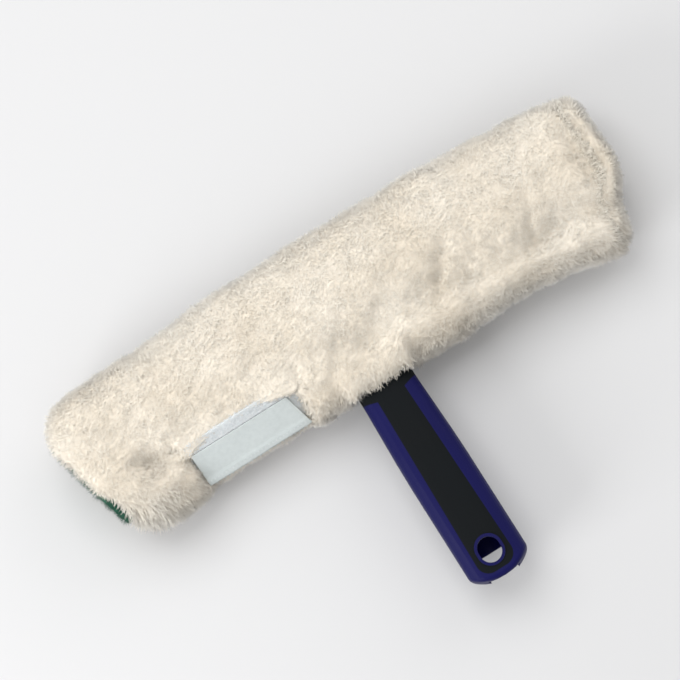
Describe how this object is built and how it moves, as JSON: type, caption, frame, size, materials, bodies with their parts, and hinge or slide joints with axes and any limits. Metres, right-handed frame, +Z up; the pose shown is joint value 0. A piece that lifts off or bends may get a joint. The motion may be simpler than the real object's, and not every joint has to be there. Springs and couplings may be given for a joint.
{
  "type": "window scrubber",
  "caption": "Window washer with a plush fleece sleeve on a moulded T-bar, a scouring pad at one end, a peel-open closure tab and a hollow two-part handle with a pole socket.",
  "frame": {"origin": "under the middle of the washer's box, on the surface that the sleeve lies on", "axes": "+X along the crossbar away from the scouring pad, -Y along the handle towards its end, +Z up through the side that carries the closure tab"},
  "size_m": [0.359, 0.2249, 0.0525],
  "materials": {
    "crossbar_plastic": "moulded, fine matt texture",
    "handle_plastic": "moulded, satin",
    "grip_rubber": "soft moulded rubber, matt",
    "screw_steel": "zinc plated",
    "fleece": "short curly pile",
    "scouring_fibre": "open nonwoven fibre web",
    "binding_tape": "woven tape",
    "loop_fabric": "brushed loops",
    "tab_tape": "tight flat weave",
    "hook_tape": "moulded hooks"
  },
  "bodies": {
    "washer": {"crossbar": "crossbar_plastic", "handle_shell": "handle_plastic", "soft_grip": "grip_rubber", "hub_screws": "screw_steel", "fleece_tube": "fleece", "end_panel": "fleece", "scrub_pad": "scouring_fibre", "slit_binding": "binding_tape", "loop_strip": "loop_fabric"},
    "tab": {"closure_tab": "tab_tape", "hook_strip": "hook_tape"}
  },
  "joints": [
    {"name": "tab_peel", "type": "hinge", "parent": "washer", "child": "tab", "pos_m": [0, 0.0196, 0.029], "axis": [1, 0, 0], "range_deg": [0, 150]}
  ]
}
